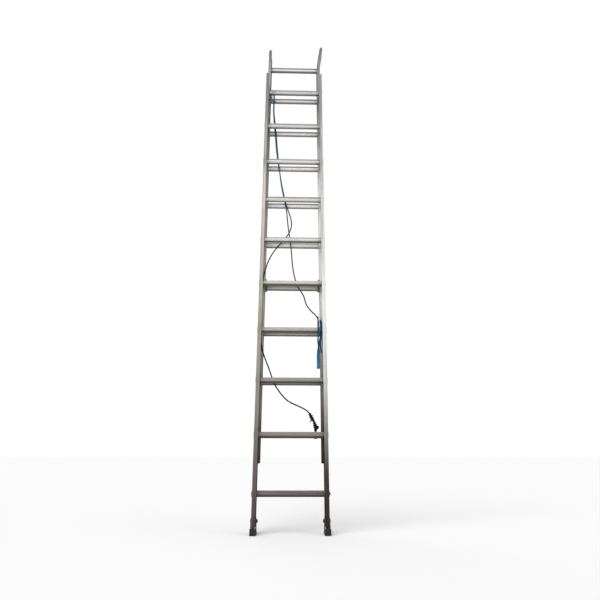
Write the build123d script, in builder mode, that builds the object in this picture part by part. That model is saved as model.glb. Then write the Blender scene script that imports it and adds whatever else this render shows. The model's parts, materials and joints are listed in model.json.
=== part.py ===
"""Two-section extension ladder with rope, pulley, rung locks and swivel shoes.

Millimetres. X runs across the ladder, Y from the climbing side to the back, Z up along the rails.
The origin is at floor level, on the middle plane, halfway between the two sections.
"""
import os
from math import tan

from build123d import *

os.makedirs("parts", exist_ok=True)

# Layout of the two sections
rung_pitch = 304.8
rung_count = 10
first_rung_height = 196.4
base_width = 413.0
fly_width = 397.0
section_gap = 5.0
base_rail_above = 152.4
fly_left_above = 171.6
fly_right_above = 208.6
fly_rail_below = 152.4

# Side rails, channels with the web outside
rail_depth = 79.0
flange_width = 22.0
flange_thickness = 3.0
web_thickness = 2.4
rail_fillet = 2.0
rail_bottom = 30.0
slide_clearance = 0.8
lip_thickness = 3.0
lip_overlap = 7.5
rib_width = 3.0
tip_clip_width = 7.0
tip_clip_height = 30.0
tip_bend = 26.0
tip_bend_start = 20.0

# Rungs, hollow with a flat tread
rung_depth = 34.0
rung_height = 32.0
rung_top_radius = 7.0
rung_bottom_radius = 15.0
rung_wall = 1.8
rung_fit = 0.15
groove_count = 5
groove_pitch = 4.4
groove_width = 1.6
groove_depth = 0.7
collar_proud = 3.5
collar_width = 5.0
flare_proud = 2.6
flare_width = 3.2

# Tie rod inside the lowest rung
tie_rod_diameter = 8.0
tie_washer_diameter = 22.0
tie_washer_thickness = 1.5
tie_head_thickness = 2.0
tie_nut_width = 13.0
tie_nut_thickness = 3.8

# Swivel shoes
shoe_pivot_height = 64.0
shoe_plate = 3.0
shoe_side_clearance = 1.0
shoe_plate_radius = 17.0
shoe_length_front = 43.0
shoe_length_back = 45.0
shoe_bolt_diameter = 10.0
shoe_bolt_head_diameter = 18.0
shoe_bolt_head = 2.5
shoe_nut_width = 16.0
shoe_nut = 6.0
running_fit = 0.05
face_clearance = 0.3
pad_thickness = 8.0
pad_overhang = 1.5
toe_thickness = 9.0
toe_height = 32.0
pad_groove_pitch = 15.0
pad_groove_width = 4.0
pad_groove_depth = 3.0
spur_size = 7.0
rivet_diameter = 5.0
rivet_head_diameter = 9.0
rivet_head = 1.8
rivet_foot = 3.0

# Pulley under the top base rung
pulley_x = -149.0
pulley_drop = 43.6
sheave_diameter = 36.0
sheave_width = 13.0
sheave_side_clearance = 0.5
cheek_thickness = 2.0
cheek_rung_radius = 24.0
cheek_axle_radius = 13.0
axle_diameter = 8.0
axle_head_diameter = 13.0
axle_head = 2.5

# Rung locks on the fly
lock_rung = 4
lock_plate = 2.5
lock_edge_clearance = 1.0
hook_width = 9.0
hook_side_clearance = 0.5
hook_height = 31.0
hook_back_room = 2.5
hook_top_room = 0.3
pawl_reach = 21.0
pawl_slope = 25.0
lock_pivot_y = 8.0
lock_pivot_drop = 28.0
lock_boss_radius = 11.0
lock_sleeve_wall = 3.0
lock_pin_diameter = 8.0
lock_pin_head_diameter = 13.0
lock_pin_head = 2.0
spring_wire = 1.5
spring_diameter = 15.0
finger_y = -14.0
finger_height = 23.0
finger_thickness = 2.0
finger_width = 13.0
finger_reach = 36.0
finger_pin_diameter = 5.0

# Rope
rope_diameter = 9.0
rope_groove_room = 0.3
hank_rung = 4
hank_x = 163.5
hank_width = 18.0
tail_x = 157.5
tail_y = -63.0
tail_bottom = 873.0
hank_end_reach = 81.0
lashing_x = 136.0
lashing_width = 14.0
lashing_thickness = 13.0
wrap_room = 0.2

# Derived places
base_half = base_width / 2
fly_half = fly_width / 2
base_y = -(section_gap + rail_depth) / 2
fly_y = (section_gap + rail_depth) / 2
base_inner = base_half - flange_width
fly_inner = fly_half - flange_width
base_top = first_rung_height + (rung_count - 1) * rung_pitch + base_rail_above
fly_first_rung = first_rung_height + rung_pitch
fly_bottom = fly_first_rung - fly_rail_below
fly_last_rung = fly_first_rung + (rung_count - 1) * rung_pitch
base_heights = [first_rung_height + i * rung_pitch for i in range(rung_count)]
fly_heights = [fly_first_rung + i * rung_pitch for i in range(rung_count)]


def rung_outline(grow):
    """Flat-topped rung section, grown or shrunk all round."""
    top_y = rung_depth / 2 - rung_top_radius
    top_z = rung_height / 2 - rung_top_radius
    bottom_y = rung_depth / 2 - rung_bottom_radius
    bottom_z = rung_bottom_radius - rung_height / 2
    with BuildSketch() as outline:
        with Locations((top_y, top_z), (-top_y, top_z)):
            Circle(rung_top_radius + grow)
        with Locations((bottom_y, bottom_z), (-bottom_y, bottom_z)):
            Circle(rung_bottom_radius + grow)
        make_hull()
    return outline.sketch


rung_outer = rung_outline(0)
rung_inner = rung_outline(-rung_wall)
rung_hole = rung_outline(rung_fit)
collar_outline = rung_outline(collar_proud)
flare_outline = rung_outline(flare_proud)
wrap_inner = rung_outline(wrap_room)
wrap_outer = rung_outline(wrap_room + rope_diameter)
sleeve_outline = rung_outline(lock_sleeve_wall)


def save(part, name):
    part.label = name
    export_step(part, f"parts/{name}.step")


def channel_profile(side, half, y_mid):
    """Web and two flanges of a rail, drawn in the current sketch."""
    flange_y = (rail_depth - flange_thickness) / 2
    with Locations((side * (half - web_thickness / 2), y_mid)):
        Rectangle(web_thickness, rail_depth)
    with Locations((side * (half - flange_width / 2), y_mid - flange_y)):
        Rectangle(flange_width, flange_thickness)
    with Locations((side * (half - flange_width / 2), y_mid + flange_y)):
        Rectangle(flange_width, flange_thickness)


def soften_channel(sketch, side, half, y_mid):
    """Round the inside corners between the web and the flanges."""
    x = side * (half - web_thickness)
    reach = rail_depth / 2 - flange_thickness
    corners = [v for v in sketch.vertices() if abs(v.X - x) < 0.01 and abs(abs(v.Y - y_mid) - reach) < 0.01]
    fillet(corners, rail_fillet)


def guide_profile(side):
    """Arm and lip that hook round the base's rear flange, and the rib that bears on it."""
    front = section_gap / 2
    lip_front = -front - flange_thickness - slide_clearance - lip_thickness
    arm_out = base_inner - slide_clearance
    arm_in = arm_out - lip_thickness
    lip_out = base_inner + lip_overlap
    with Locations((side * (arm_in + arm_out) / 2, (front + lip_front) / 2)):
        Rectangle(lip_thickness, front - lip_front)
    with Locations((side * (arm_in + lip_out) / 2, lip_front + lip_thickness / 2)):
        Rectangle(lip_out - arm_in, lip_thickness)
    rib_length = section_gap - slide_clearance
    with Locations((side * (lip_out - rib_width / 2), front - rib_length / 2)):
        Rectangle(rib_width, rib_length)


def base_rail(side, name):
    with BuildPart() as rail:
        with BuildSketch(Plane.XY.offset(rail_bottom)) as profile:
            channel_profile(side, base_half, base_y)
            soften_channel(profile, side, base_half, base_y)
        extrude(amount=base_top - rail_bottom)
        with BuildSketch(Plane.YZ.offset(side * (base_half - 2 * web_thickness))):
            with Locations(*[(base_y, z) for z in base_heights]):
                add(rung_hole)
            with Locations((base_y, shoe_pivot_height)):
                Circle(shoe_bolt_diameter / 2 + running_fit)
        extrude(amount=side * 3 * web_thickness, mode=Mode.SUBTRACT)
    save(rail.part, name)


def fly_rail(side, above, bend, name):
    straight_top = fly_last_rung + tip_bend_start
    rail_top = fly_last_rung + above
    tip_length = rail_top - straight_top
    with BuildPart() as rail:
        with BuildSketch(Plane.XY.offset(fly_bottom)) as profile:
            channel_profile(side, fly_half, fly_y)
            guide_profile(side)
            soften_channel(profile, side, fly_half, fly_y)
        extrude(amount=straight_top - fly_bottom)
        with BuildSketch(Plane.XY.offset(straight_top)) as tip_profile:
            channel_profile(side, fly_half, fly_y)
            soften_channel(tip_profile, side, fly_half, fly_y)
        slope = Vector(side * bend, 0, tip_length)
        extrude(amount=slope.length, dir=slope.normalized())
        with BuildSketch(Plane.YZ.offset(side * (fly_half - 2 * web_thickness))):
            with Locations(*[(fly_y, z) for z in fly_heights]):
                add(rung_hole)
        extrude(amount=side * 3 * web_thickness, mode=Mode.SUBTRACT)
        outer = fly_half + bend
        inner = fly_inner + bend
        with BuildSketch(Plane.XZ.offset(-fly_y)):
            with BuildLine():
                Polyline(
                    (side * (outer + 1), rail_top - tip_clip_height),
                    (side * (outer + 1), rail_top + 1),
                    (side * (outer - tip_clip_width), rail_top + 1),
                    close=True,
                )
            make_face()
            with BuildLine():
                Polyline(
                    (side * (inner - 1), rail_top - tip_clip_height / 2),
                    (side * (inner - 1), rail_top + 1),
                    (side * (inner + tip_clip_width), rail_top + 1),
                    close=True,
                )
            make_face()
        extrude(amount=rail_depth, both=True, mode=Mode.SUBTRACT)
    save(rail.part, name)


base_rail(-1, "base_rail_left")
base_rail(1, "base_rail_right")
fly_rail(-1, fly_left_above, 0.0, "fly_rail_left")
fly_rail(1, fly_right_above, tip_bend, "fly_rail_right")


def rung(half, y, z, name):
    inner_face = half - web_thickness
    length_half = half + flare_width
    with BuildPart() as tube:
        with BuildSketch(Plane.YZ.offset(-length_half)):
            with Locations((y, z)):
                add(rung_outer)
        extrude(amount=2 * length_half)
        for side in (-1, 1):
            with BuildSketch(Plane.YZ.offset(side * inner_face)):
                with Locations((y, z)):
                    add(collar_outline)
            extrude(amount=-side * collar_width)
            with BuildSketch(Plane.YZ.offset(side * half)):
                with Locations((y, z)):
                    add(flare_outline)
            extrude(amount=side * flare_width)
        rims = tube.edges().filter_by(GeomType.CIRCLE).group_by(Axis.X)
        fillet(rims[0] + rims[-1], flare_width / 4)
        with BuildSketch(Plane.YZ.offset(-length_half)):
            with Locations((y, z)):
                add(rung_inner)
        extrude(amount=2 * length_half, mode=Mode.SUBTRACT)
        with BuildSketch(Plane.YZ.offset(-inner_face + collar_width)):
            with Locations((y, z + rung_height / 2)):
                with GridLocations(groove_pitch, 1, groove_count, 1):
                    Rectangle(groove_width, 2 * groove_depth)
        extrude(amount=2 * (inner_face - collar_width), mode=Mode.SUBTRACT)
    save(tube.part, name)


for index in range(rung_count):
    rung(base_half, base_y, base_heights[index], f"base_rung_{index + 1:02d}")
    rung(fly_half, fly_y, fly_heights[index], f"fly_rung_{index + 1:02d}")

# Tie rod through the lowest rung: round head at the left, washer and nut at the right
tie_face = base_half + flare_width
tie_washer_face = tie_face + tie_washer_thickness
with BuildPart() as tie_rod:
    with BuildSketch(Plane.YZ.offset(-tie_washer_face)):
        with Locations((base_y, first_rung_height)):
            Circle(tie_rod_diameter / 2)
    extrude(amount=2 * tie_washer_face + tie_nut_thickness + tie_washer_thickness)
    with BuildSketch(Plane.YZ.offset(-tie_washer_face)):
        with Locations((base_y, first_rung_height)):
            Circle(tie_nut_width / 2)
    extrude(amount=-tie_head_thickness, taper=20)
save(tie_rod.part, "tie_rod")

with BuildPart() as tie_fixings:
    for side in (-1, 1):
        with BuildSketch(Plane.YZ.offset(side * tie_face)):
            with Locations((base_y, first_rung_height)):
                RectangleRounded(rung_depth, tie_washer_diameter, tie_washer_diameter / 4)
                Circle(tie_rod_diameter / 2 + running_fit, mode=Mode.SUBTRACT)
        extrude(amount=side * tie_washer_thickness)
    with BuildSketch(Plane.YZ.offset(tie_washer_face)):
        with Locations((base_y, first_rung_height)):
            RegularPolygon(tie_nut_width / 2, 6, major_radius=False)
            Circle(tie_rod_diameter / 2 + running_fit, mode=Mode.SUBTRACT)
    extrude(amount=tie_nut_thickness)
save(tie_fixings.part, "tie_rod_fixings")


# Swivel shoes
shoe_inner_face = base_inner - shoe_side_clearance
shoe_outer_face = base_half + shoe_side_clearance
shoe_inside = shoe_inner_face - shoe_plate
shoe_outside = shoe_outer_face + shoe_plate
shoe_mid = (shoe_inside + shoe_outside) / 2
shoe_width = shoe_outside - shoe_inside
sole_top = pad_thickness + shoe_plate
sole_y = base_y + (shoe_length_back - shoe_length_front) / 2
sole_length = shoe_length_front + shoe_length_back
rivet_places = [(shoe_mid, sole_y - sole_length / 4), (shoe_mid, sole_y + sole_length / 4)]


def shoe_bracket(side, name):
    with BuildPart() as bracket:
        for face in (shoe_inside, shoe_outer_face):
            with BuildSketch(Plane.YZ.offset(side * face)):
                with Locations((base_y, shoe_pivot_height)):
                    Circle(shoe_plate_radius)
                with Locations((base_y - shoe_length_front + 4, sole_top), (base_y + shoe_length_back - 4, sole_top)):
                    Circle(2)
                make_hull()
            extrude(amount=side * shoe_plate)
        with BuildSketch(Plane.XY.offset(pad_thickness)):
            with Locations((side * shoe_mid, sole_y)):
                Rectangle(shoe_width, sole_length)
            with Locations((side * shoe_mid, sole_y + sole_length / 2)):
                with GridLocations(shoe_width / 3, 1, 3, 1):
                    Rectangle(spur_size, spur_size, rotation=45, mode=Mode.SUBTRACT)
            with Locations(*[(side * x, y) for x, y in rivet_places]):
                Circle(rivet_diameter / 2 + running_fit, mode=Mode.SUBTRACT)
        extrude(amount=shoe_plate)
        with BuildSketch(Plane.YZ.offset(side * (shoe_inside - 1))):
            with Locations((base_y, shoe_pivot_height)):
                Circle(shoe_bolt_diameter / 2 + running_fit)
        extrude(amount=side * (shoe_width + 2), mode=Mode.SUBTRACT)
    save(bracket.part, name)


def shoe_pad(side, name):
    toe_back = base_y - shoe_length_front
    toe_front = toe_back - toe_thickness
    heel = base_y + shoe_length_back
    with BuildPart() as pad:
        with BuildSketch(Plane.YZ.offset(side * (shoe_inside - pad_overhang))) as profile:
            with BuildLine():
                Polyline(
                    (toe_front, 0),
                    (heel, 0),
                    (heel, pad_thickness),
                    (toe_back, pad_thickness),
                    (toe_back, toe_height),
                    (toe_front, toe_height),
                    close=True,
                )
            make_face()
            fillet(profile.vertices().group_by(Axis.Y)[-1], toe_thickness / 3)
            fillet(profile.vertices().group_by(Axis.X)[-1], pad_groove_depth / 2)
            with Locations((sole_y, 0)):
                with GridLocations(pad_groove_pitch, 1, 5, 1):
                    Rectangle(pad_groove_width, 2 * pad_groove_depth, mode=Mode.SUBTRACT)
        extrude(amount=side * (shoe_width + 2 * pad_overhang))
        with BuildSketch(Plane.XY.offset(-1)):
            with Locations(*[(side * x, y) for x, y in rivet_places]):
                Circle(rivet_head_diameter / 2 + running_fit)
        extrude(amount=1 + pad_groove_depth + rivet_foot, mode=Mode.SUBTRACT)
        with BuildSketch(Plane.XY.offset(-1)):
            with Locations(*[(side * x, y) for x, y in rivet_places]):
                Circle(rivet_diameter / 2 + running_fit)
        extrude(amount=2 + pad_thickness, mode=Mode.SUBTRACT)
    save(pad.part, name)


def shoe_rivets(side, name):
    foot_top = pad_groove_depth + rivet_foot
    with BuildPart() as rivets:
        with BuildSketch(Plane.XY.offset(pad_groove_depth)):
            with Locations(*[(side * x, y) for x, y in rivet_places]):
                Circle(rivet_head_diameter / 2)
        extrude(amount=rivet_foot)
        with BuildSketch(Plane.XY.offset(foot_top)):
            with Locations(*[(side * x, y) for x, y in rivet_places]):
                Circle(rivet_diameter / 2)
        extrude(amount=sole_top - foot_top)
        with BuildSketch(Plane.XY.offset(sole_top)):
            with Locations(*[(side * x, y) for x, y in rivet_places]):
                Circle(rivet_head_diameter / 2)
        extrude(amount=rivet_head, taper=25)
    save(rivets.part, name)


def shoe_bolt(side, name):
    head_face = shoe_outside + face_clearance
    nut_face = shoe_inside - face_clearance
    with BuildPart() as bolt:
        with BuildSketch(Plane.YZ.offset(side * (nut_face - shoe_nut - 1))):
            with Locations((base_y, shoe_pivot_height)):
                Circle(shoe_bolt_diameter / 2)
        extrude(amount=side * (head_face - nut_face + shoe_nut + 1))
        with BuildSketch(Plane.YZ.offset(side * head_face)):
            with Locations((base_y, shoe_pivot_height)):
                Circle(shoe_bolt_head_diameter / 2)
        extrude(amount=side * shoe_bolt_head, taper=18)
    save(bolt.part, name)


def shoe_nut_and_spacer(side, nut_name, spacer_name):
    nut_face = shoe_inside - face_clearance
    with BuildPart() as nut:
        with BuildSketch(Plane.YZ.offset(side * nut_face)):
            with Locations((base_y, shoe_pivot_height)):
                RegularPolygon(shoe_nut_width / 2, 6, major_radius=False)
                Circle(shoe_bolt_diameter / 2 + running_fit, mode=Mode.SUBTRACT)
        extrude(amount=-side * shoe_nut)
    save(nut.part, nut_name)
    spacer_start = shoe_inner_face + face_clearance
    with BuildPart() as spacer:
        with BuildSketch(Plane.YZ.offset(side * spacer_start)):
            with Locations((base_y, shoe_pivot_height)):
                Circle(shoe_nut_width / 2)
                Circle(shoe_bolt_diameter / 2 + running_fit, mode=Mode.SUBTRACT)
        extrude(amount=side * (base_half - web_thickness - spacer_start))
    save(spacer.part, spacer_name)


for side, word in ((-1, "left"), (1, "right")):
    shoe_bracket(side, f"shoe_bracket_{word}")
    shoe_pad(side, f"shoe_pad_{word}")
    shoe_rivets(side, f"shoe_rivets_{word}")
    shoe_bolt(side, f"shoe_bolt_{word}")
    shoe_nut_and_spacer(side, f"shoe_nut_{word}", f"shoe_spacer_{word}")


# Pulley: two cheeks hung on the top base rung, axle and sheave
pulley_rung_z = base_heights[-1]
pulley_z = pulley_rung_z - pulley_drop
cheek_inside = sheave_width / 2 + sheave_side_clearance
cheek_outside = cheek_inside + cheek_thickness
rope_radius = rope_diameter / 2
rope_wrap = sheave_diameter / 2 - rope_radius + 1.0

with BuildPart() as pulley_bracket:
    for start in (-cheek_outside, cheek_inside):
        with BuildSketch(Plane.YZ.offset(pulley_x + start)):
            with Locations((base_y, pulley_rung_z)):
                Circle(cheek_rung_radius)
            with Locations((0, pulley_z)):
                Circle(cheek_axle_radius)
            make_hull()
            with Locations((base_y, pulley_rung_z - rung_fit)):
                add(rung_hole, mode=Mode.SUBTRACT)
            with Locations((0, pulley_z)):
                Circle(axle_diameter / 2, mode=Mode.SUBTRACT)
        extrude(amount=cheek_thickness)
    with BuildSketch(Plane.YZ.offset(pulley_x - cheek_inside)):
        with Locations((base_y, pulley_rung_z + rung_height / 2 + cheek_thickness)):
            Rectangle(rung_depth / 2, cheek_thickness)
    extrude(amount=2 * cheek_inside)
save(pulley_bracket.part, "pulley_bracket")

with BuildPart() as pulley_axle:
    with BuildSketch(Plane.YZ.offset(pulley_x - cheek_outside)):
        with Locations((0, pulley_z)):
            Circle(axle_diameter / 2)
    extrude(amount=2 * cheek_outside)
    with BuildSketch(Plane.YZ.offset(pulley_x + cheek_outside)):
        with Locations((0, pulley_z)):
            Circle(axle_head_diameter / 2)
    extrude(amount=axle_head, taper=20)
save(pulley_axle.part, "pulley_axle")

sheave_plane = Plane(origin=(pulley_x, 0, pulley_z), x_dir=(1, 0, 0), z_dir=(0, -1, 0))
bore_radius = axle_diameter / 2 + running_fit
with BuildPart() as pulley_sheave:
    with BuildSketch(sheave_plane):
        with Locations((0, (bore_radius + sheave_diameter / 2) / 2)):
            Rectangle(sheave_width, sheave_diameter / 2 - bore_radius)
        with Locations((0, rope_wrap)):
            Circle(rope_radius + rope_groove_room, mode=Mode.SUBTRACT)
        with Locations((0, rope_wrap + sheave_diameter / 2)):
            Rectangle(rope_diameter + 2 * rope_groove_room, sheave_diameter, mode=Mode.SUBTRACT)
    revolve(axis=Axis((pulley_x, 0, pulley_z), (1, 0, 0)))
save(pulley_sheave.part, "pulley_sheave")


# Rung locks: bracket on a fly rung, pawl hook on top of the base rung in front of it, finger on the hook
lock_z = fly_heights[lock_rung - 1]
lock_pivot_z = lock_z - lock_pivot_drop
plate_out = fly_inner - lock_edge_clearance
plate_in = plate_out - lock_plate
hook_out = plate_in - hook_side_clearance
hook_in = hook_out - hook_width
lock_in = hook_in - hook_side_clearance - finger_thickness
spring_room = 2 * spring_wire + hook_side_clearance
rung_back = base_y + rung_depth / 2
rung_front = base_y - rung_depth / 2


def lock_bracket(side, name):
    with BuildPart() as bracket:
        with BuildSketch(Plane.YZ.offset(side * plate_in)):
            with Locations((fly_y, lock_z)):
                Circle(cheek_rung_radius)
            with Locations((lock_pivot_y, lock_pivot_z)):
                Circle(lock_boss_radius)
            make_hull()
        extrude(amount=side * lock_plate)
        with BuildSketch(Plane.YZ.offset(side * lock_in)):
            with Locations((fly_y, lock_z - rung_fit)):
                add(sleeve_outline)
        extrude(amount=side * (plate_out - lock_in))
        with BuildSketch(Plane.YZ.offset(side * lock_in)):
            with Locations((fly_y, lock_z - rung_fit)):
                add(rung_hole)
            with Locations((lock_pivot_y, lock_pivot_z)):
                Circle(lock_pin_diameter / 2)
        extrude(amount=side * (plate_out - lock_in), mode=Mode.SUBTRACT)
    save(bracket.part, name)


def lock_pin(side, name):
    head_start = hook_in - hook_side_clearance
    with BuildPart() as pin:
        with BuildSketch(Plane.YZ.offset(side * head_start)):
            with Locations((lock_pivot_y, lock_pivot_z)):
                Circle(lock_pin_diameter / 2)
        extrude(amount=side * (plate_out - head_start))
        with BuildSketch(Plane.YZ.offset(side * head_start)):
            with Locations((lock_pivot_y, lock_pivot_z)):
                Circle(lock_pin_head_diameter / 2)
        extrude(amount=-side * lock_pin_head, taper=20)
    save(pin.part, name)


def lock_spring(side, name):
    with BuildPart() as spring:
        with BuildSketch(Plane.YZ.offset(side * plate_in)):
            with Locations((lock_pivot_y, lock_pivot_z)):
                Circle(spring_diameter / 2)
                Circle(spring_diameter / 2 - 2 * spring_wire, mode=Mode.SUBTRACT)
        extrude(amount=-side * 2 * spring_wire)
    save(spring.part, name)


def lock_hook(side, name):
    mouth_top = lock_z + rung_height / 2 + hook_top_room
    mouth_back = rung_back + hook_back_room
    pawl_tip = rung_back - pawl_reach
    top = lock_z + hook_height
    stem_back = lock_pivot_y + lock_boss_radius
    stem_front = lock_pivot_y - lock_boss_radius
    with BuildPart() as hook:
        with BuildSketch(Plane.YZ.offset(side * hook_in)) as profile:
            with BuildLine():
                Polyline(
                    (pawl_tip, mouth_top),
                    (pawl_tip, top - 7),
                    (pawl_tip + 6, top),
                    (stem_back - pawl_slope, top),
                    (stem_back - 2, lock_pivot_z + 6),
                    (stem_back, lock_pivot_z),
                    (stem_front, lock_pivot_z),
                    (stem_front, lock_z - 18),
                    (mouth_back, lock_z + 4),
                    (mouth_back, mouth_top),
                    close=True,
                )
            make_face()
            with Locations((lock_pivot_y, lock_pivot_z)):
                Circle(lock_boss_radius)
                Circle(lock_pin_diameter / 2 + running_fit, mode=Mode.SUBTRACT)
            with Locations((finger_y, lock_z + finger_height)):
                Circle(finger_pin_diameter / 2 + running_fit, mode=Mode.SUBTRACT)
        extrude(amount=side * hook_width)
        with BuildSketch(Plane.YZ.offset(side * hook_out)):
            with Locations((lock_pivot_y, lock_pivot_z)):
                Circle(spring_diameter / 2 + 2 * face_clearance)
        extrude(amount=-side * spring_room, mode=Mode.SUBTRACT)
    save(hook.part, name)


def lock_finger(side, name):
    with BuildPart() as finger:
        with BuildSketch(Plane.YZ.offset(side * lock_in)):
            with Locations((finger_y, lock_z + finger_height)):
                Circle(finger_width / 2)
            with Locations((finger_y - 1, lock_z + finger_height - finger_reach)):
                Circle(finger_width / 3)
            make_hull()
        extrude(amount=side * finger_thickness)
        with BuildSketch(Plane.YZ.offset(side * lock_in)):
            with Locations((finger_y, lock_z + finger_height)):
                Circle(finger_pin_diameter / 2)
        extrude(amount=side * (hook_out - lock_in))
    save(finger.part, name)


for side, word in ((-1, "left"), (1, "right")):
    lock_bracket(side, f"lock_bracket_{word}")
    lock_pin(side, f"lock_pin_{word}")
    lock_spring(side, f"lock_spring_{word}")
    lock_hook(side, f"lock_hook_{word}")
    lock_finger(side, f"lock_finger_{word}")


# Rope: a hauling strand and a standing strand over the sheave, a hank and a lashing at their ends
strand_front = -rope_wrap
strand_back = rope_wrap
hauling_points = [
    (pulley_x, strand_front, pulley_z),
    (pulley_x, strand_front, 2800),
    (-140, strand_front, 2688),
    (-132, strand_front, 2574),
    (-123, strand_front, 2465),
    (-112, strand_front, 2365),
    (-98, strand_front, 2262),
    (-85, strand_front, 2160),
    (-66, strand_front, 2062),
    (-49, strand_front, 1972),
    (-41, strand_front, 1880),
    (-29, strand_front, 1795),
    (-16, strand_front, 1705),
    (-8, strand_front, 1620),
    (1, strand_front, 1530),
    (19, strand_front, 1445),
    (54, strand_front, 1362),
    (96, strand_front, 1288),
    (136, strand_front, 1230),
    (160, strand_front - 2, 1175),
    (168, -19.8, 1128),
]
standing_points = [
    (pulley_x, strand_back, pulley_z),
    (pulley_x, strand_back, 2800),
    (-140, strand_back, 2688),
    (-132, strand_back, 2574),
    (-123, strand_back, 2465),
    (-112, strand_back, 2365),
    (-98, strand_back, 2262),
    (-85, strand_back, 2160),
    (-66, strand_back, 2062),
    (-42, strand_back, 1985),
    (-19, strand_back, 1918),
    (-10, strand_back, 1860),
    (-25, strand_back, 1803),
    (-60, strand_back, 1748),
    (-106, strand_back, 1692),
    (-138, 9, 1640),
    (-160, -3, 1583),
    (-174, -15, 1525),
    (-188, -17, 1465),
    (-193, -17, 1390),
    (-192.5, -17.5, 1300),
    (-193.5, -18, 1205),
    (-192.5, -17.5, 1115),
    (-189, -17, 1045),
    (-177, -17, 985),
    (-158, -3, 930),
    (-134, 10, 866),
    (-100, strand_back, 786),
    (-52, strand_back, 726),
    (8, strand_back, 690),
    (62, strand_back + 0.5, 657),
    (102, strand_back + 0.5, 624),
]


def rope_line(points):
    """Straight runs joined by tangent arcs; prints the tightest bend."""
    tightest = 1e9
    place = Vector(*points[0])
    for before, corner, after in zip(points, points[1:], points[2:]):
        run_in = Vector(*corner) - Vector(*before)
        run_out = Vector(*after) - Vector(*corner)
        turn = run_in.get_angle(run_out)
        trim = 0.45 * min(run_in.length, run_out.length)
        radius = trim / tan(turn * 3.14159265 / 360)
        tightest = min(tightest, radius)
        arc_in = Vector(*corner) - run_in.normalized() * trim
        arc_out = Vector(*corner) + run_out.normalized() * trim
        chord_mid = (arc_in + arc_out) * 0.5
        to_corner = Vector(*corner) - chord_mid
        half_chord = (arc_out - arc_in).length / 2
        sag = radius - (radius * radius - half_chord * half_chord) ** 0.5
        Line(place, arc_in)
        ThreePointArc(arc_in, chord_mid + to_corner.normalized() * sag, arc_out)
        place = arc_out
    Line(place, Vector(*points[-1]))
    print("tightest rope bend", round(tightest, 1))


with BuildPart() as rope_hauling:
    with BuildLine() as hauling_path:
        ThreePointArc(
            (pulley_x, strand_back, pulley_z),
            (pulley_x, 0, pulley_z + rope_wrap),
            (pulley_x, strand_front, pulley_z),
        )
        rope_line(hauling_points)
    with BuildSketch(Plane(origin=(pulley_x, strand_back, pulley_z), z_dir=(0, 0, 1))):
        Circle(rope_radius)
    sweep(path=hauling_path.wires()[0])
save(rope_hauling.part, "rope_hauling")
print("hauling rope length", round(hauling_path.wires()[0].length, 1))

with BuildPart() as rope_standing:
    with BuildLine() as standing_path:
        rope_line(standing_points)
    with BuildSketch(Plane(origin=standing_points[0], z_dir=standing_path.wires()[0] % 0)):
        Circle(rope_radius)
    sweep(path=standing_path.wires()[0])
save(rope_standing.part, "rope_standing")
print("standing rope length", round(standing_path.wires()[0].length, 1))

hank_z = base_heights[hank_rung - 1]
tail_top = hank_z - rung_height / 2 - 3 * rope_diameter
slant_top = hank_z - rung_height / 4
with BuildPart() as rope_hank:
    with BuildSketch(Plane.YZ.offset(hank_x)):
        with Locations((base_y, hank_z)):
            add(wrap_outer)
    extrude(amount=hank_width)
    fillet(rope_hank.edges().group_by(Axis.X)[0] + rope_hank.edges().group_by(Axis.X)[-1], rope_radius / 1.5)
    with BuildSketch(Plane.XY.offset(tail_bottom)) as tail_section:
        with Locations((tail_x, tail_y)):
            SlotOverall(2 * rope_diameter, rope_diameter)
    extrude(amount=tail_top - tail_bottom)
    with BuildSketch(Plane.XY.offset(tail_top)):
        with Locations((tail_x, tail_y)):
            SlotOverall(2 * rope_diameter, rope_diameter)
    slant = Vector(hank_x + hank_width / 2 - tail_x, 0, slant_top - tail_top)
    extrude(amount=slant.length, dir=slant.normalized())
    with BuildSketch(Plane.XY.offset(hank_z)):
        with Locations((hank_x + rope_radius + 1, rung_front - rope_radius)):
            Circle(rope_radius)
    extrude(amount=hank_end_reach)
    with BuildSketch(Plane.YZ.offset(hank_x - hank_width)):
        with Locations((base_y, hank_z - wrap_room)):
            add(wrap_inner)
    extrude(amount=3 * hank_width, mode=Mode.SUBTRACT)
save(rope_hank.part, "rope_hank")

lashing_z = fly_heights[0]
lashing_foot = Vector(lashing_x + lashing_width / 2, fly_y - rung_depth / 2 - 1, lashing_z + rung_height / 2)
with BuildPart() as rope_lashing:
    with BuildSketch(Plane.YZ.offset(lashing_x)):
        with Locations((fly_y, lashing_z)):
            add(wrap_outer)
    extrude(amount=lashing_width)
    fillet(rope_lashing.edges().group_by(Axis.X)[0] + rope_lashing.edges().group_by(Axis.X)[-1], rope_radius / 1.5)
    with BuildLine() as lashing_path:
        Line(Vector(*standing_points[-1]), lashing_foot)
    with BuildSketch(Plane(origin=standing_points[-1], z_dir=lashing_path.wires()[0] % 0)):
        Circle(lashing_thickness / 2)
    sweep(path=lashing_path.wires()[0])
    with BuildSketch(Plane.YZ.offset(lashing_x - lashing_width)):
        with Locations((fly_y, lashing_z - wrap_room)):
            add(wrap_inner)
    extrude(amount=3 * lashing_width, mode=Mode.SUBTRACT)
save(rope_lashing.part, "rope_lashing")
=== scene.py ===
# %% [markdown]
# # An aluminium extension ladder, weathered and roped
# The construction comes from a imported model: rails, rungs, locks, pulley and shoes already have their
# real size and place. This lesson gives them their looks: a camera that sees what the photograph sees,
# a rope laid from three strands, a tie, a lashing, and metal with light and shade painted into its
# colour: bright at mid height and dark near the feet, where dirt and painted shade go together.

# %% Load the frame
import json
import math

import bpy
from mathutils import Matrix, Vector


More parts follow.
